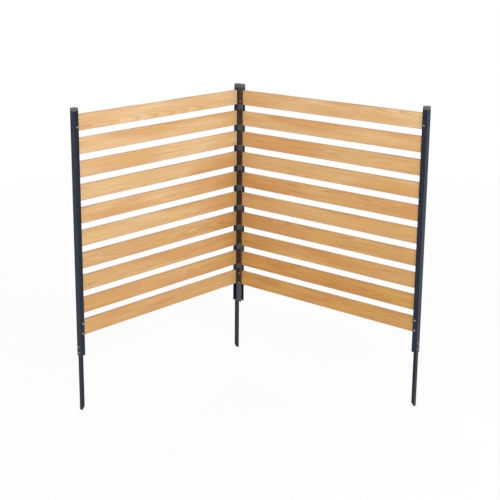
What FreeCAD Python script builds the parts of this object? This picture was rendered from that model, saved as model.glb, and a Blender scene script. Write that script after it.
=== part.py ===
import FreeCAD, Part
import os

from FreeCAD import Placement, Rotation, Vector

# A free-standing garden privacy screen: two slatted panels that meet at a right angle.
# Each panel is ten level wooden slats whose ends slide into the slots of two square steel
# tubes. The two tubes at the corner stand side by side and are riveted together. Three of
# the four tubes carry a ground stake, and each tube is closed by a cap.
#
# Lengths are in millimetres and +Z is up. The origin is the middle of the footprint, at the
# level of the stake tips. The right panel runs along +X from the corner and the left panel
# along -Y, so the sheltered side faces +X and -Y.

# ---- Driving dimensions ----

# Slats
SLAT_COUNT = 10
SLAT_HEIGHT = 70.0
SLAT_THICKNESS = 12.0
SLAT_GAP = 30.0
SLAT_END_GAP = 3.5          # between a slat's end and the inside of the post's web
SLAT_EDGE_RADIUS = 1.5      # rounding of the long edges

# Posts: square tubes with a slot along the side that faces the slats
PANEL_WIDTH = 1050.0        # over the two posts of one panel
POST_SIZE = 25.0
POST_WALL = 1.5
POST_CORNER_RADIUS = 1.2
SLOT_CLEARANCE = 0.3        # on each face of a slat, in the slot
TOP_MARGIN = 15.0           # top end of a post above the first slat
FOOT_MARGIN = 91.0          # bottom end of a post below the last slat

# Caps: a head as wide as the post, with a hollow plug below it
CAP_HEAD_HEIGHT = 14.0
CAP_SIDE_INSET = 0.2        # the head's sides stay this far inside the post's sides
CAP_EDGE_RADIUS = 1.8
CAP_PLUG_LENGTH = 9.0
CAP_PLUG_WALL = 2.0
PLUG_CLEARANCE = 0.3        # on each side of the plug

# Spacers: hollow blocks in the posts that hold the slats apart
SPACER_WALL = 2.5
SPACER_CLEARANCE = 0.3      # on each side of a spacer

# Ground stakes: square tubes, cut off at a slant below
STAKE_SIZE = 15.0
STAKE_WALL = 1.5
STAKE_DEPTH = 255.0         # below the foot of the post
STAKE_GRIP = 60.0           # inside the post
STAKE_TIP_RISE = 15.0       # height of the slanted cut

# Pan-head screws
SCREW_SHANK_RADIUS = 2.0
SCREW_HEAD_RADIUS = 3.9
SCREW_HEAD_HEIGHT = 2.4
SCREW_HEAD_ROUNDING = 1.1
SCREW_HOLE_CLEARANCE = 0.1  # round the shank
SCREW_BITE = 9.0            # length of shank in the slat
SCREW_TIP_CLEARANCE = 0.5   # between the screw's tip and the end of its hole
RECESS_LENGTH = 4.2         # cross recess in the head
RECESS_WIDTH = 0.9
RECESS_DEPTH = 1.2

SLAT_SCREW_INSET = 10.0     # from the slotted side of the post
FIRST_SLAT_SCREW_DROP = 53.0            # below the top edge of the first slat
LAST_SLAT_SCREW_DROPS = [14.0, 60.0]    # below the top edge of the last slat
STAKE_SCREW_RISES = [13.0, 39.0]        # above the foot of the post
STAKE_SCREW_LENGTH = 9.0    # from the web's outer face to the screw's tip

# Rivets that join the two corner posts
RIVET_RADIUS = 2.4
RIVET_HEAD_RADIUS = 4.6
RIVET_HEAD_HEIGHT = 1.4
RIVET_TAIL_RADIUS = 3.5
RIVET_TAIL_HEIGHT = 2.6
RIVET_HOLE_CLEARANCE = 0.1  # round the rivet's body
RIVET_COUNT = 4             # the first and last are at the second slats from top and bottom

# ---- Levels and places that follow from them ----

slat_pitch = SLAT_HEIGHT + SLAT_GAP
foot_level = STAKE_DEPTH
last_slat_bottom = foot_level + FOOT_MARGIN
first_slat_top = last_slat_bottom + SLAT_COUNT * SLAT_HEIGHT + (SLAT_COUNT - 1) * SLAT_GAP
post_top = first_slat_top + TOP_MARGIN
post_length = post_top - foot_level
post_middle = POST_SIZE / 2
cavity_size = POST_SIZE - 2 * POST_WALL
slot_width = SLAT_THICKNESS + 2 * SLOT_CLEARANCE
slat_start = POST_WALL + SLAT_END_GAP
slat_length = PANEL_WIDTH - 2 * slat_start
screw_hole_radius = SCREW_SHANK_RADIUS + SCREW_HOLE_CLEARANCE
rivet_hole_radius = RIVET_RADIUS + RIVET_HOLE_CLEARANCE

# The footprint is the right panel and the width of one post along X, and one panel along Y.
footprint_x = POST_SIZE + PANEL_WIDTH
footprint_y = PANEL_WIDTH
corner = Vector(-footprint_x / 2, footprint_y / 2, 0)

UP = Vector(0, 0, 1)
ALONG = Vector(1, 0, 0)
ACROSS = Vector(0, 1, 0)
PARALLEL = 1e-6             # sine of the angle below which two directions count as parallel


def turned(x, y, angle):
    """A placement at x, y from the outer corner, turned by angle degrees about Z."""
    return Placement(corner + Vector(x, y, 0), Rotation(UP, angle))


# Each post is drawn in a frame of its own: x runs from the web into the slot, towards the
# slats, y across the panel, and z up. The screws of a post enter at y = 0, or at y =
# POST_SIZE where screws_at_far_side is true. The left inner post hides its sheltered side
# behind the right one, so its screws come in from outside.
POSTS = {
    "left_outer": {
        "placement": turned(POST_SIZE, -PANEL_WIDTH, 90),
        "screws_at_far_side": False,
        "has_stake": True,
    },
    "left_inner": {
        "placement": turned(0, 0, -90),
        "screws_at_far_side": False,
        "has_stake": True,
    },
    "right_inner": {
        "placement": turned(POST_SIZE, -POST_SIZE, 0),
        "screws_at_far_side": False,
        "has_stake": False,
    },
    "right_outer": {
        "placement": turned(POST_SIZE + PANEL_WIDTH, 0, 180),
        "screws_at_far_side": True,
        "has_stake": True,
    },
}

# A panel's slats share the frame of its inner post.
PANELS = {
    "left": ["left_inner", "left_outer"],
    "right": ["right_inner", "right_outer"],
}


# ---- Helpers ----

def placed(shape, placement):
    """A copy of the shape, moved from a post's frame into the part's frame."""
    moved = shape.copy()
    moved.Placement = placement.multiply(moved.Placement)
    return moved


def block(x_range, y_range, z_range):
    """A box between the given limits."""
    low = Vector(x_range[0], y_range[0], z_range[0])
    size = Vector(x_range[1], y_range[1], z_range[1]) - low
    return Part.makeBox(size.x, size.y, size.z, low)


def centred(size, middle=post_middle):
    """The limits of a length that is centred on the middle."""
    return (middle - size / 2, middle + size / 2)


def rounded(shape, radius, chosen):
    """The shape with a fillet on each edge that the chosen function picks."""
    edges = [edge for edge in shape.Edges if chosen(edge)]
    return shape.makeFillet(radius, edges)


def runs_along(edge, direction):
    """True for a straight edge along the direction."""
    span = edge.Vertexes[-1].Point - edge.Vertexes[0].Point
    return span.Length > 0 and span.cross(direction).Length < PARALLEL * span.Length


def slat_top(number):
    """Height of a slat's top edge. Slats are numbered from 1 at the top."""
    return first_slat_top - (number - 1) * slat_pitch


def slat_screw_heights():
    """Heights of the screws that hold the first and last slats in one post."""
    first = [slat_top(1) - FIRST_SLAT_SCREW_DROP]
    last = [slat_top(SLAT_COUNT) - drop for drop in LAST_SLAT_SCREW_DROPS]
    return first + last


def stake_screw_heights():
    """Heights of the screws that hold one stake."""
    return [foot_level + rise for rise in STAKE_SCREW_RISES]


def rivet_heights():
    """Heights of the rivets between the two corner posts."""
    step = (SLAT_COUNT - 3) / (RIVET_COUNT - 1)
    riveted_slats = [round(2 + step * index) for index in range(RIVET_COUNT)]
    return [slat_top(number) - SLAT_HEIGHT / 2 for number in riveted_slats]


# ---- Screws and rivets ----

def slat_screw_axis(post, height):
    """Where a slat screw enters the post's wall, and its direction inwards."""
    at_far_side = POSTS[post]["screws_at_far_side"]
    y = POST_SIZE if at_far_side else 0
    inwards = -ACROSS if at_far_side else ACROSS
    return Vector(POST_SIZE - SLAT_SCREW_INSET, y, height), inwards


def slat_screw_length():
    """From the wall's outer face, across the gap inside the post, into the slat."""
    return (POST_SIZE - SLAT_THICKNESS) / 2 + SCREW_BITE


def stake_screw_axis(height):
    """Where a stake screw enters the post's web, and its direction inwards."""
    return Vector(0, post_middle, height), ALONG


def pan_head_screw(entry, inwards, length):
    """A screw whose head rests on the surface at the entry point."""
    shank = Part.makeCylinder(SCREW_SHANK_RADIUS, length, Vector(), UP)
    head = Part.makeCylinder(SCREW_HEAD_RADIUS, SCREW_HEAD_HEIGHT, Vector(), -UP)
    head_top = -SCREW_HEAD_HEIGHT
    head = rounded(head, SCREW_HEAD_ROUNDING, lambda edge: edge.BoundBox.ZMax < head_top / 2)
    recess_levels = (head_top, head_top + RECESS_DEPTH)
    long_side = centred(RECESS_LENGTH, 0)
    short_side = centred(RECESS_WIDTH, 0)
    recess = block(long_side, short_side, recess_levels)
    recess = recess.fuse(block(short_side, long_side, recess_levels))
    screw = head.fuse(shank).cut(recess).removeSplitter()
    return placed(screw, Placement(entry, Rotation(UP, inwards)))


def rivet(height):
    """A rivet through the web of the right inner post and the wall of the left one."""
    web_face = Vector(POST_WALL, post_middle, height)
    grip = 2 * POST_WALL
    head = Part.makeCylinder(RIVET_HEAD_RADIUS, RIVET_HEAD_HEIGHT, web_face, ALONG)
    body = Part.makeCylinder(RIVET_RADIUS, grip, web_face, -ALONG)
    tail_face = web_face - ALONG * grip
    tail = Part.makeCylinder(RIVET_TAIL_RADIUS, RIVET_TAIL_HEIGHT, tail_face, -ALONG)
    return head.fuse(body).fuse(tail).removeSplitter()


def rivet_holes():
    """The holes of all rivets, in the frame of the right inner post."""
    start = Vector(-2 * POST_WALL, post_middle, 0)
    length = 4 * POST_WALL
    return [
        Part.makeCylinder(rivet_hole_radius, length, start + UP * height, ALONG)
        for height in rivet_heights()
    ]


def slat_screw_hole(post, height, length):
    """A hole along a slat screw's axis."""
    entry, inwards = slat_screw_axis(post, height)
    return Part.makeCylinder(screw_hole_radius, length, entry, inwards)


# ---- Pieces, each in the frame of its post ----

def slotted_tube():
    """A square tube with one slot, rounded on its four outer corners."""
    levels = (foot_level, post_top)
    side = (0, POST_SIZE)
    tube = block(side, side, levels)
    tube = rounded(tube, POST_CORNER_RADIUS, lambda edge: runs_along(edge, UP))
    tube = tube.cut(block(centred(cavity_size), centred(cavity_size), levels))
    slot = block((post_middle, POST_SIZE), centred(slot_width), levels)
    return tube.cut(slot)


def post(name):
    """A slotted tube with the holes of its own screws."""
    shape = slotted_tube()
    holes = [slat_screw_hole(name, height, post_middle) for height in slat_screw_heights()]
    if POSTS[name]["has_stake"]:
        for height in stake_screw_heights():
            entry, inwards = stake_screw_axis(height)
            holes.append(Part.makeCylinder(screw_hole_radius, post_middle, entry, inwards))
    return shape.cut(holes)


def cap():
    """A cap whose head rests on the post's top end and whose plug fits inside the tube."""
    head_side = centred(POST_SIZE - 2 * CAP_SIDE_INSET)
    head = block(head_side, head_side, (post_top, post_top + CAP_HEAD_HEIGHT))
    head_middle = post_top + CAP_HEAD_HEIGHT / 2
    head = rounded(head, CAP_EDGE_RADIUS, lambda edge: edge.BoundBox.ZMax > head_middle)
    plug_side = cavity_size - 2 * PLUG_CLEARANCE
    hollow_side = plug_side - 2 * CAP_PLUG_WALL
    plug_levels = (post_top - CAP_PLUG_LENGTH, post_top)
    plug = block(centred(plug_side), centred(plug_side), plug_levels)
    plug = plug.cut(block(centred(hollow_side), centred(hollow_side), plug_levels))
    return head.fuse(plug).removeSplitter()


def stake():
    """A square tube against the post's web, its lower end cut at a slant."""
    x_range = (POST_WALL, POST_WALL + STAKE_SIZE)
    y_range = centred(STAKE_SIZE)
    levels = (foot_level - STAKE_DEPTH, foot_level + STAKE_GRIP)
    hollow_x = (x_range[0] + STAKE_WALL, x_range[1] - STAKE_WALL)
    hollow_y = centred(STAKE_SIZE - 2 * STAKE_WALL)
    tube = block(x_range, y_range, levels).cut(block(hollow_x, hollow_y, levels))
    tip = levels[0]
    slant = [
        Vector(hollow_x[0], y_range[0], tip),
        Vector(x_range[1], y_range[0], tip),
        Vector(x_range[1], y_range[0], tip + STAKE_TIP_RISE),
    ]
    offcut = Part.Face(Part.makePolygon(slant + [slant[0]])).extrude(ACROSS * STAKE_SIZE)
    holes = [
        Part.makeCylinder(screw_hole_radius, POST_SIZE / 2, *stake_screw_axis(height))
        for height in stake_screw_heights()
    ]
    return tube.cut([offcut] + holes)


def spacer(upper_slat):
    """A hollow block between a slat and the one below it, inside the tube."""
    outer = cavity_size - 2 * SPACER_CLEARANCE
    inner = outer - 2 * SPACER_WALL
    top = slat_top(upper_slat) - SLAT_HEIGHT
    levels = (top - SLAT_GAP, top)
    return block(centred(outer), centred(outer), levels).cut(
        block(centred(inner), centred(inner), levels)
    )


def slat(panel, number):
    """One slat in the part's frame, with the pilot holes of the screws that reach it."""
    inner, outer = PANELS[panel]
    top = slat_top(number)
    board = block(
        (slat_start, slat_start + slat_length),
        centred(SLAT_THICKNESS),
        (top - SLAT_HEIGHT, top),
    )
    board = rounded(board, SLAT_EDGE_RADIUS, lambda edge: runs_along(edge, ALONG))
    board = placed(board, POSTS[inner]["placement"])
    pilots = [
        placed(
            slat_screw_hole(name, height, slat_screw_length() + SCREW_TIP_CLEARANCE),
            POSTS[name]["placement"],
        )
        for name in (inner, outer)
        for height in slat_screw_heights()
        if top - SLAT_HEIGHT < height < top
    ]
    return board.cut(pilots) if pilots else board


# ---- Assembly ----

def all_nodes():
    """Every named piece, or group of identical fasteners or spacers, in the part's frame."""
    nodes = {}
    for name, facts in POSTS.items():
        place = facts["placement"]
        pieces = {
            "post": [post(name)],
            "cap": [cap()],
            "spacers": [spacer(number) for number in range(1, SLAT_COUNT)],
            "slat_screws": [
                pan_head_screw(*slat_screw_axis(name, height), slat_screw_length())
                for height in slat_screw_heights()
            ],
        }
        if facts["has_stake"]:
            pieces["stake"] = [stake()]
            pieces["stake_screws"] = [
                pan_head_screw(*stake_screw_axis(height), STAKE_SCREW_LENGTH)
                for height in stake_screw_heights()
            ]
        for kind, shapes in pieces.items():
            nodes[name + "_" + kind] = [placed(shape, place) for shape in shapes]

    joined = POSTS["right_inner"]["placement"]
    nodes["corner_rivets"] = [placed(rivet(height), joined) for height in rivet_heights()]
    holes = [placed(hole, joined) for hole in rivet_holes()]
    for name in ("left_inner_post", "right_inner_post"):
        nodes[name] = [nodes[name][0].cut(holes)]

    for panel in PANELS:
        for number in range(1, SLAT_COUNT + 1):
            nodes[f"{panel}_slat_{number:02d}"] = [slat(panel, number)]
    return nodes


os.makedirs("parts", exist_ok=True)
for node, solids in all_nodes().items():
    shape = solids[0] if len(solids) == 1 else Part.makeCompound(solids)
    shape.exportStep("parts/" + node + ".step")
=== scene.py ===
import bmesh
import bpy
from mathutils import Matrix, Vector


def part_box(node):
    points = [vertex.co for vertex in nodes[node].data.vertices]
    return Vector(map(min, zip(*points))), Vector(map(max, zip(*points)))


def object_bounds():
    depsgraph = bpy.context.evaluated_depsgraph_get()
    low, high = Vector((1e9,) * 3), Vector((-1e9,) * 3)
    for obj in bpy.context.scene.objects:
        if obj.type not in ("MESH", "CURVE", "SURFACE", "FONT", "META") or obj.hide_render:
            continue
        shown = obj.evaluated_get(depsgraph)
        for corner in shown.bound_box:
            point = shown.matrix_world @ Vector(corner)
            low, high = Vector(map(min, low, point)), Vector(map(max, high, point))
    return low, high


# Garden privacy screen: two slatted wooden panels that meet at a right angle, held in dark
# coated steel posts with grey caps, on three ground stakes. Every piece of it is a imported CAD
# solid. This script gives each one its finish, and adds the floor, the light and the camera.
# Lengths are in metres, and colours are red, green and blue out of 255.

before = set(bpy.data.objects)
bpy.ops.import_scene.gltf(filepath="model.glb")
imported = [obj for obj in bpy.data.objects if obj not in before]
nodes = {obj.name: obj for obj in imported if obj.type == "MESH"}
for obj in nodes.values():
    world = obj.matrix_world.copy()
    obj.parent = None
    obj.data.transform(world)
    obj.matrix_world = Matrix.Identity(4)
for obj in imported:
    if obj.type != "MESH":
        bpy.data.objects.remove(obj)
cad_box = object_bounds()

# ---- Places read from the imported pieces ----

FIRST_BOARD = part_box("left_slat_01")
SECOND_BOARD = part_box("left_slat_02")
LEFT_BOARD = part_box("left_slat_05")
RIGHT_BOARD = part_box("right_slat_05")
BOARD_TOP = FIRST_BOARD[1].z
BOARD_HEIGHT = FIRST_BOARD[1].z - FIRST_BOARD[0].z
BOARD_PITCH = FIRST_BOARD[1].z - SECOND_BOARD[1].z
BOARD_GAP = BOARD_PITCH - BOARD_HEIGHT
CORNER_X, CORNER_Y = cad_box[0].x, cad_box[1].y

BOARD_COUNT = 10
POSTS = ("left_outer", "left_inner", "right_inner", "right_outer")
STAKED_POSTS = ("left_outer", "left_inner", "right_outer")
X_AXIS, Y_AXIS, Z_AXIS = 0, 1, 2


# ---- Node trees, written as sums ----


def tone(colour):
    """A colour out of 255 as the linear values that a node socket takes."""
    shares = [part / 255 for part in colour]
    linear = [s / 12.92 if s <= 0.04045 else ((s + 0.055) / 1.055) ** 2.4 for s in shares]
    return (*linear, 1.0)


class Value:
    """One output socket of a node. Arithmetic on it adds Math nodes."""

    def __init__(self, sheet, node, output):
        self.sheet = sheet
        self.node = node
        self.socket = node.outputs[output]

    def other(self, output):
        return Value(self.sheet, self.node, output)

    def math(self, operation, *operands):
        return self.sheet.add("Math", {"operation": operation}, dict(enumerate(operands)))

    def __add__(self, amount):
        return self.math("ADD", self, amount)

    def __radd__(self, amount):
        return self.math("ADD", amount, self)

    def __sub__(self, amount):
        return self.math("SUBTRACT", self, amount)

    def __rsub__(self, amount):
        return self.math("SUBTRACT", amount, self)

    def __mul__(self, amount):
        return self.math("MULTIPLY", self, amount)

    def __rmul__(self, amount):
        return self.math("MULTIPLY", amount, self)

    def __truediv__(self, amount):
        return self.math("DIVIDE", self, amount)

    def __pow__(self, power):
        return self.math("POWER", self, power)

    def __abs__(self):
        return self.math("ABSOLUTE", self)

    def floor(self):
        return self.math("FLOOR", self)

    def fraction(self):
        return self.math("FRACT", self)

    def larger(self, amount):
        return self.math("MAXIMUM", self, amount)

    def rise(self, low, high):
        """0 below low, 1 above high, and a smooth step between them."""
        span = {"Value": self, "From Min": low, "From Max": high}
        return self.sheet.add("MapRange", {"interpolation_type": "SMOOTHSTEP"}, span)


class Sheet:
    """A node tree, filled node by node."""

    def __init__(self, owner):
        owner.use_nodes = True
        self.owner = owner
        self.tree = owner.node_tree
        self.tree.nodes.clear()

    def add(self, kind, settings=None, inputs=None, output=0):
        """Adds one node: its settings first, then the values or links of its sockets."""
        node = self.tree.nodes.new("ShaderNode" + kind)
        for key, value in (settings or {}).items():
            setattr(node, key, value)
        for key, value in (inputs or {}).items():
            if isinstance(value, Value):
                self.tree.links.new(value.socket, node.inputs[key])
            else:
                node.inputs[key].default_value = value
        return Value(self, node, output) if node.outputs else node

    def place(self):
        """The object's own X, Y and Z."""
        point = self.add("TexCoord", output="Object")
        parts = self.add("SeparateXYZ", inputs={0: point})
        return parts, parts.other(1), parts.other(2)

    def point(self, x, y, z):
        return self.add("CombineXYZ", inputs={0: x, 1: y, 2: z})

    def cloud(self, point, scale=1.0, detail=2.0, roughness=0.5):
        """Soft noise between 0 and 1."""
        inputs = {"Vector": point, "Scale": scale, "Detail": detail, "Roughness": roughness}
        return self.add("TexNoise", inputs=inputs)

    def blend(self, share, first, second):
        """The first colour, or the second where the share is 1."""
        first = first if isinstance(first, Value) else tone(first)
        second = second if isinstance(second, Value) else tone(second)
        settings = {"data_type": "RGBA"}
        return self.add("Mix", settings, {0: share, 6: first, 7: second}, output=2)

    def relief(self, height, depth, strength):
        return self.add("Bump", inputs={"Height": height, "Distance": depth, "Strength": strength})

    def looked_at(self):
        """1 for a ray of the camera, a mirror or a glass, and 0 for the rays that light."""
        path = self.add("LightPath", output="Is Camera Ray")
        return path.larger(path.other("Is Glossy Ray")).larger(path.other("Is Transmission Ray"))

    def surface(self, **inputs):
        """Ends a material in one Principled surface."""
        named = {key.replace("_", " "): value for key, value in inputs.items()}
        shader = self.add("BsdfPrincipled", inputs=named)
        self.add("OutputMaterial", inputs={"Surface": shader})
        return self.owner


def sheet_named(name):
    return Sheet(bpy.data.materials.new(name))


def near_side(place, low, high, wear_and_shade):
    """1 at the low and the high side of a piece, and 0 further in than the band reaches: worn
    sides, and painted shade along the board edges. Its reach is how far in from the side it
    starts, and how far in it is full."""
    starts, full = wear_and_shade
    half = (high - low) / 2
    return abs(place - (low + high) / 2).rise(half - starts, half - full)


# ---- Wood ----

PALE_WOOD = (239, 209, 167)
PALE_RING = (217, 167, 101)
DEEP_WOOD = (203, 147, 62)
DEEP_RING = (170, 112, 44)
ROSE_WOOD = (222, 158, 112)
STRAW_WOOD = (222, 180, 94)
FLECK_WOOD = (150, 98, 54)
EDGE_SHADE_WOOD = (142, 104, 70)

# Growth rings: their width, how far they stray slowly and quickly, how far they shift for each
# metre along the board, and the shares of a ring where its dark late wood grows and ends.
RING_WIDTH = 0.0034
RING_WANDER = 0.016
RING_RIPPLE = 0.0022
RING_SLANT = 0.05
LATE_WOOD = (0.25, 0.86)
LATE_WOOD_END = (0.9, 1.0)

# The pith line lies behind the face, at a height and a depth that each board throws anew.
PITH_HEIGHT_RANGE = 0.075
PITH_DEPTH = 0.014
PITH_DEPTH_RANGE = 0.045

# How much of each figure's colour shows, everywhere and more where another figure is strong.
RING_SHARE, RING_SHARE_BY_FIGURE = 0.25, 0.5
ROSE_SHARE = 0.45
STRAW_SHARE, STRAW_SHARE_BY_TONE = 0.25, 0.12
BAND_SHARE = 0.4
FIBRE_SHARE = 0.45
FLECK_SHARE = 0.4
# Painted shade: a darker line along the rounded top and bottom edges of each board.
EDGE_SHADE_SHARE, EDGE_SHADE_SHARE_BY_BAND = 0.35, 0.3
EDGE_SHADE_REACH = (0.0034, 0.0010)

# Tone, from 0 for pale to 1 for deep: how far boards and patches differ from their row, and
# where painted shade deepens the tone towards the corner of the screen. Rows count from 0 at the
# top.
BOARD_TONE_RANGE = 0.22
PATCH_TONE_RANGE = 0.2
CORNER_SHADE_REACH = (0.04, 0.34)
MIDDLE_ROWS_START = (1.0, 4.5)
MIDDLE_ROWS_END = (7.0, 9.5)

# How far the noise moves on for each row of boards, along them and through them.
ROW_STEP_ALONG = 7.3
ROW_STEP_THROUGH = 3.1

WOOD_RELIEF = 0.00035


def oiled_wood(name, along, through, face, seed, row_shade_range, corner, corner_shade):
    """Pale oiled softwood, for boards that run along one axis, with the sheltered face at a
    place on the axis through them. The growth rings stand round a pith line that runs with the
    board, so faces, edges and ends agree, and each board has its own pith, tone and figure.
    Painted shade deepens the tone from the first row to the last, and in the middle rows towards
    the corner."""
    sheet = sheet_named(name)
    place = sheet.place()
    length, height = place[along], place[Z_AXIS]
    depth = abs(place[through] - face)

    row = ((BOARD_TOP + BOARD_GAP / 2 - height) / BOARD_PITCH).floor()
    across = BOARD_TOP - BOARD_HEIGHT / 2 - row * BOARD_PITCH - height
    dice = sheet.add("TexWhiteNoise", {"noise_dimensions": "1D"}, {"W": row + seed}, "Color")
    throws = sheet.add("SeparateColor", inputs={0: dice})
    first, second, third = throws, throws.other(1), throws.other(2)

    def streaks(along_rate, across_rate, start, detail=2.0):
        """Noise drawn out along the board, in changes for each metre along and across it. Each
        has its own start and moves on for each row, so no two figures or boards match."""
        noise_length = length * along_rate + row * ROW_STEP_ALONG + start
        noise_depth = depth * across_rate + row * ROW_STEP_THROUGH
        point = sheet.point(noise_length, across * across_rate, noise_depth)
        return sheet.cloud(point, detail=detail)

    wander = streaks(along_rate=1.3, across_rate=5.0, start=11.0) - 0.5
    ripple = streaks(along_rate=7.0, across_rate=30.0, start=23.0) - 0.5
    figure = streaks(along_rate=2.4, across_rate=26.0, start=37.0, detail=3.0).rise(0.32, 0.68)
    patch = streaks(along_rate=1.8, across_rate=9.0, start=41.0).rise(0.38, 0.66)
    fibre = streaks(along_rate=16.0, across_rate=620.0, start=53.0, detail=3.0)
    band = streaks(along_rate=3.6, across_rate=95.0, start=67.0, detail=3.0).rise(0.35, 0.7)
    fleck = streaks(along_rate=34.0, across_rate=1500.0, start=71.0, detail=1.0).rise(0.66, 0.76)
    straw = streaks(along_rate=4.6, across_rate=30.0, start=83.0).rise(0.4, 0.64)
    edge = near_side(across, -BOARD_HEIGHT / 2, BOARD_HEIGHT / 2, EDGE_SHADE_REACH)

    from_pith = across - (first - 0.5) * PITH_HEIGHT_RANGE
    behind_pith = depth + PITH_DEPTH + second * PITH_DEPTH_RANGE
    radius = (from_pith ** 2 + behind_pith ** 2) ** 0.5
    strayed = radius + wander * RING_WANDER + ripple * RING_RIPPLE
    ring = ((strayed + length * (third - 0.5) * RING_SLANT) / RING_WIDTH).fraction()
    late = ring.rise(*LATE_WOOD) * (1 - ring.rise(*LATE_WOOD_END))

    # Painted shade: the tone deepens row by row from the top row to the bottom row.
    upper, lower = row_shade_range
    row_shade = upper + row * ((lower - upper) / (BOARD_COUNT - 1))
    own_tone = (second - 0.5) * BOARD_TONE_RANGE + (patch - 0.5) * PATCH_TONE_RANGE
    # Painted shade: in the middle rows the tone deepens towards the corner where the panels meet.
    near_corner = 1 - abs(length - corner).rise(*CORNER_SHADE_REACH)
    middle_rows = row.rise(*MIDDLE_ROWS_START) * (1 - row.rise(*MIDDLE_ROWS_END))
    deepness = row_shade + own_tone + near_corner * middle_rows * corner_shade

    early = sheet.blend(deepness, PALE_WOOD, DEEP_WOOD)
    dark = sheet.blend(deepness, PALE_RING, DEEP_RING)
    body = sheet.blend(late * (RING_SHARE + figure * RING_SHARE_BY_FIGURE), early, dark)
    body = sheet.blend(patch * ROSE_SHARE, body, ROSE_WOOD)
    body = sheet.blend(straw * (STRAW_SHARE + deepness * STRAW_SHARE_BY_TONE), body, STRAW_WOOD)
    body = sheet.blend(band * BAND_SHARE, body, dark)
    body = sheet.blend(fibre.rise(0.5, 0.75) * FIBRE_SHARE, body, dark)
    body = sheet.blend(fleck * FLECK_SHARE, body, FLECK_WOOD)
    # Painted shade along the board's top and bottom edges.
    body = sheet.blend(edge * (EDGE_SHADE_SHARE + band * EDGE_SHADE_SHARE_BY_BAND), body, EDGE_SHADE_WOOD)

    grain = late * 0.35 + fibre * 0.5 - fleck * 0.5
    return sheet.surface(
        Base_Color=body,
        Roughness=0.5 + fibre * 0.16 - late * 0.08,
        Specular_IOR_Level=0.32,
        Normal=sheet.relief(grain, depth=WOOD_RELIEF, strength=0.6),
    )


# ---- Coated steel ----

# A finish has the coat's colour and clouding, the tint and level of its shine, its lowest
# roughness, and how far its cut ends are scuffed.
POST_FINISH = {
    "coat": (5, 13, 28),
    "clouding": (13, 22, 38),
    "shine_tint": (206, 226, 255),
    "shine": 0.45,
    "smoothest": 0.14,
    "scuffed_ends": 0.5,
}
# The right inner post stands in the corner and mirrors the boards. Its coat is a warmer black
# with more shine than the others, so that their brown shows in it.
CORNER_FINISH = {
    **POST_FINISH,
    "coat": (11, 11, 17),
    "clouding": (19, 19, 26),
    "shine_tint": (246, 246, 255),
    "shine": 0.95,
}
STAKE_FINISH = {
    "coat": (12, 18, 25),
    "clouding": (22, 28, 36),
    "shine_tint": (206, 226, 255),
    "shine": 0.36,
    "smoothest": 0.3,
    "scuffed_ends": 0.7,
}
COAT_RUBBED = (104, 110, 116)
# Where the rub starts and where it is full, in from a corner, the top end and the foot end.
CORNER_WEAR = (0.0013, 0.0003)
TOP_END_WEAR = (0.0012, 0.0002)
FOOT_END_WEAR = (0.0020, 0.0002)
PEEL_SCALE = 850.0
PEEL_RELIEF = 0.00012
# Changes of the clouding and of the chips for each metre across and along the tube.
CLOUD_ACROSS, CLOUD_ALONG = 60, 5
CHIP_ACROSS, CHIP_ALONG = 200, 40


def coated_steel(name, box, coat, clouding, shine_tint, shine, smoothest, scuffed_ends):
    """Dark satin powder coat on a square tube: a fine orange-peel skin, faint clouding, and
    rubbed corners and cut ends."""
    sheet = sheet_named(name)
    x, y, z = sheet.place()
    low, high = box

    across_wear = near_side(x, low.x, high.x, CORNER_WEAR)
    deep_wear = near_side(y, low.y, high.y, CORNER_WEAR)
    top_end = z.rise(high.z - TOP_END_WEAR[0], high.z - TOP_END_WEAR[1])
    foot_end = 1 - z.rise(low.z + FOOT_END_WEAR[1], low.z + FOOT_END_WEAR[0])

    cloud_point = sheet.point(x * CLOUD_ACROSS, y * CLOUD_ACROSS, z * CLOUD_ALONG)
    chip_point = sheet.point(x * CHIP_ACROSS, y * CHIP_ACROSS, z * CHIP_ALONG)
    clouds = sheet.cloud(cloud_point, detail=3.0)
    chips = sheet.cloud(chip_point, detail=3.0, roughness=0.6).rise(0.5, 0.62)
    peel = sheet.cloud(sheet.point(x, y, z), scale=PEEL_SCALE, detail=1.0)
    worn = across_wear * deep_wear * 0.45 + (top_end + foot_end) * scuffed_ends
    rub = worn * (0.35 + chips * 0.65)

    body = sheet.blend(clouds.rise(0.35, 0.7), coat, clouding)
    body = sheet.blend(peel.rise(0.55, 0.8) * 0.25, body, clouding)
    body = sheet.blend(rub, body, COAT_RUBBED)
    return sheet.surface(
        Base_Color=body,
        Roughness=smoothest + clouds * 0.08 + rub * 0.16,
        Specular_IOR_Level=shine,
        Specular_Tint=tone(shine_tint),
        Normal=sheet.relief(peel, depth=PEEL_RELIEF, strength=0.5),
    )


# ---- Moulded plastic ----

CAP_FINISH = {
    "plastic": (91, 88, 89),
    "clouding": (101, 98, 99),
    "rubbed": (140, 138, 138),
    "smoothest": 0.55,
}
SPACER_FINISH = {
    "plastic": (15, 15, 17),
    "clouding": (23, 23, 25),
    "rubbed": (23, 23, 25),
    "smoothest": 0.5,
}
MOULDED_WEAR = (0.0016, 0.0004)
MOULD_GRAIN_SCALE = 1600.0
MOULD_CLOUD_SCALE = 70.0
MOULD_RELIEF = 0.00012


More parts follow.
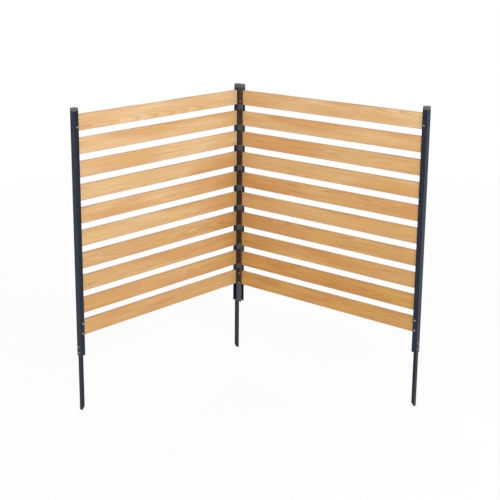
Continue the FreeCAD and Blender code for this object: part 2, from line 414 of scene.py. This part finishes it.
def moulded_plastic(name, box, plastic, clouding, rubbed, smoothest):
    """Matt moulded plastic with a fine spark-eroded grain and paler, slightly polished edges."""
    sheet = sheet_named(name)
    x, y, z = sheet.place()
    low, high = box
    point = sheet.point(x, y, z)
    grain = sheet.cloud(point, scale=MOULD_GRAIN_SCALE, detail=2.0)
    clouds = sheet.cloud(point, scale=MOULD_CLOUD_SCALE, detail=3.0)

    side = near_side(x, low.x, high.x, MOULDED_WEAR)
    front = near_side(y, low.y, high.y, MOULDED_WEAR)
    top = z.rise(high.z - MOULDED_WEAR[0], high.z - MOULDED_WEAR[1])
    edge = (side * front).larger(side * top).larger(front * top)

    body = sheet.blend(clouds.rise(0.35, 0.65), plastic, clouding)
    body = sheet.blend(grain.rise(0.4, 0.75) * 0.3, body, clouding)
    body = sheet.blend(edge * (0.25 + clouds * 0.4), body, rubbed)
    return sheet.surface(
        Base_Color=body,
        Roughness=smoothest + grain * 0.12 - edge * 0.1,
        Specular_IOR_Level=0.4,
        Normal=sheet.relief(grain, depth=MOULD_RELIEF, strength=0.5),
    )


# ---- Plated metal ----

ZINC_FINISH = {"bright": (192, 194, 198), "dull": (152, 154, 158)}
ALUMINIUM_FINISH = {"bright": (200, 202, 205), "dull": (165, 168, 172)}
RECESS_PAINTED_SHADE = (60, 62, 66)
RECESS_TOP = 0.0012
RECESS_FLOOR = 0.0020
BLOOM_SCALE = 420.0
TOOLING_SCALE = 2600.0
TOOLING_RELIEF = 0.00005


def plated_metal(name, bright, dull, head=None):
    """Bright screw or rivet with a dull bloom. A screw's head, given as the axis and the side
    that it faces and the place of its crown, gets painted shade at the floor of its recess."""
    sheet = sheet_named(name)
    place = sheet.place()
    point = sheet.point(*place)
    bloom = sheet.cloud(point, scale=BLOOM_SCALE, detail=3.0)
    tooling = sheet.cloud(point, scale=TOOLING_SCALE, detail=1.0)

    body = sheet.blend(bloom.rise(0.4, 0.65), bright, dull)
    roughness = 0.26 + bloom * 0.2
    if head:
        axis, side, crown = head
        sunk = ((crown - place[axis]) * side).rise(RECESS_TOP, RECESS_FLOOR)
        # Painted shade at the floor of the screw's recess.
        body = sheet.blend(sunk * 0.8, body, RECESS_PAINTED_SHADE)
        roughness = roughness + sunk * 0.2
    return sheet.surface(
        Base_Color=body,
        Metallic=1.0,
        Roughness=roughness,
        Normal=sheet.relief(tooling, depth=TOOLING_RELIEF, strength=0.4),
    )


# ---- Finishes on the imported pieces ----


def finish(node_name, material):
    """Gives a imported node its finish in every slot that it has."""
    for slot in nodes[node_name].material_slots:
        slot.link = "OBJECT"
        slot.material = material


# Painted shade: the right panel's rows are set deeper than the left panel's.
left_wood = oiled_wood(
    "oiled_wood_left",
    along=Y_AXIS,
    through=X_AXIS,
    face=LEFT_BOARD[1].x,
    seed=3.0,
    row_shade_range=(0.0, 0.62),
    corner=CORNER_Y,
    corner_shade=0.38,
)
right_wood = oiled_wood(
    "oiled_wood_right",
    along=X_AXIS,
    through=Y_AXIS,
    face=RIGHT_BOARD[0].y,
    seed=40.0,
    row_shade_range=(0.28, 0.95),
    corner=CORNER_X,
    corner_shade=0.14,
)
for number in range(1, BOARD_COUNT + 1):
    finish(f"left_slat_{number:02d}", left_wood)
    finish(f"right_slat_{number:02d}", right_wood)

for post in POSTS:
    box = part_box(f"{post}_post")
    skin = CORNER_FINISH if post == "right_inner" else POST_FINISH
    finish(f"{post}_post", coated_steel(f"{post}_coat", box, **skin))
    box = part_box(f"{post}_cap")
    finish(f"{post}_cap", moulded_plastic(f"{post}_cap_grey", box, **CAP_FINISH))
    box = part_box(f"{post}_spacers")
    finish(f"{post}_spacers", moulded_plastic(f"{post}_spacer_black", box, **SPACER_FINISH))

for post in STAKED_POSTS:
    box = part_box(f"{post}_stake")
    finish(f"{post}_stake", coated_steel(f"{post}_stake_coat", box, **STAKE_FINISH))

# The axis that each set of screw heads faces along, and the side that it faces.
HEADS = {
    "left_outer_slat_screws": (X_AXIS, 1),
    "left_inner_slat_screws": (X_AXIS, -1),
    "right_inner_slat_screws": (Y_AXIS, -1),
    "right_outer_slat_screws": (Y_AXIS, -1),
    "left_outer_stake_screws": (Y_AXIS, -1),
    "left_inner_stake_screws": (Y_AXIS, 1),
    "right_outer_stake_screws": (X_AXIS, 1),
}
for screws, (axis, side) in HEADS.items():
    low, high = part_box(screws)
    crown = high[axis] if side > 0 else low[axis]
    zinc = plated_metal(f"{screws}_zinc", **ZINC_FINISH, head=(axis, side, crown))
    finish(screws, zinc)
finish("corner_rivets", plated_metal("rivet_aluminium", **ALUMINIUM_FINISH))

# ---- Floor ----

STUDIO_WHITE = (255, 255, 255)
FLOOR_WHITE = (246, 246, 246)
FLOOR_REACH = 120.0

# Share of plain white in the floor as it is looked at, under the screen. It grows to 1 between
# the two distances from the screen, so that the floor runs out into the plain background.
FLOOR_PLAIN_SHARE = 0.87
SHADOW_REACH = 2.2
WHITE_REACH = 6.0

floor_mesh = bmesh.new()
bmesh.ops.create_grid(floor_mesh, x_segments=1, y_segments=1, size=FLOOR_REACH)
floor_data = bpy.data.meshes.new("studio_floor")
floor_mesh.to_mesh(floor_data)
floor_mesh.free()
floor = bpy.data.objects.new("studio_floor", floor_data)
bpy.context.collection.objects.link(floor)

sheet = sheet_named("floor_white")
x, y, z = sheet.place()
away = ((x ** 2 + y ** 2) ** 0.5).rise(SHADOW_REACH, WHITE_REACH)
plain_share = sheet.looked_at() * (FLOOR_PLAIN_SHARE + away * (1 - FLOOR_PLAIN_SHARE))
matt = sheet.add("BsdfDiffuse", inputs={"Color": tone(FLOOR_WHITE)})
plain = sheet.add("Emission", inputs={"Color": tone(STUDIO_WHITE), "Strength": 1.0})
both = sheet.add("MixShader", inputs={0: plain_share, 1: matt, 2: plain})
sheet.add("OutputMaterial", inputs={"Surface": both})
floor_data.materials.append(sheet.owner)

# ---- Light ----

# The sky lights the screen at this level, and is white wherever it is looked at.
SKY_LEVEL = 0.58

# Each lamp's place and power.
SOFTBOXES = {
    "key_softbox": (Vector((3.2, -1.2, 3.2)), 88.0),
    "fill_softbox": (Vector((-0.4, -3.4, 3.2)), 26.0),
    "back_softbox": (Vector((-3.0, 2.8, 3.4)), 60.0),
}
SOFTBOX_SIDE = 2.4
SOFTBOX_AIM = Vector((0, 0, 1.0))


def facing(place, aim):
    """The turn of a lamp or a camera that stands at a place and looks at its aim."""
    return (aim - place).to_track_quat("-Z", "Y").to_euler()


world = bpy.data.worlds.new("studio")
bpy.context.scene.world = world
sheet = Sheet(world)
level = SKY_LEVEL + sheet.looked_at() * (1 - SKY_LEVEL)
sky = sheet.add("Background", inputs={"Color": tone(STUDIO_WHITE), "Strength": level})
sheet.add("OutputWorld", inputs={"Surface": sky})

for name, (place, power) in SOFTBOXES.items():
    lamp = bpy.data.lights.new(name, "AREA")
    lamp.shape = "SQUARE"
    lamp.size = SOFTBOX_SIDE
    lamp.energy = power
    softbox = bpy.data.objects.new(name, lamp)
    softbox.location = place
    softbox.rotation_euler = facing(place, SOFTBOX_AIM)
    bpy.context.collection.objects.link(softbox)

# ---- Camera ----

SENSOR_WIDTH = 36.0
LENS = 80.09
SHIFT_X = 0.08
SHIFT_Y = -0.08
CAMERA_PLACE = Vector((2.9846, -3.4822, 2.0523))
CAMERA_AIM = Vector((0.1539, -0.4189, 1.0064))

lens = bpy.data.cameras.new("camera")
lens.sensor_width = SENSOR_WIDTH
lens.lens = LENS
lens.shift_x = SHIFT_X
lens.shift_y = SHIFT_Y
camera = bpy.data.objects.new("camera", lens)
camera.location = CAMERA_PLACE
camera.rotation_euler = facing(CAMERA_PLACE, CAMERA_AIM)
bpy.context.collection.objects.link(camera)
bpy.context.scene.camera = camera
bpy.context.scene.view_settings.view_transform = "Standard"
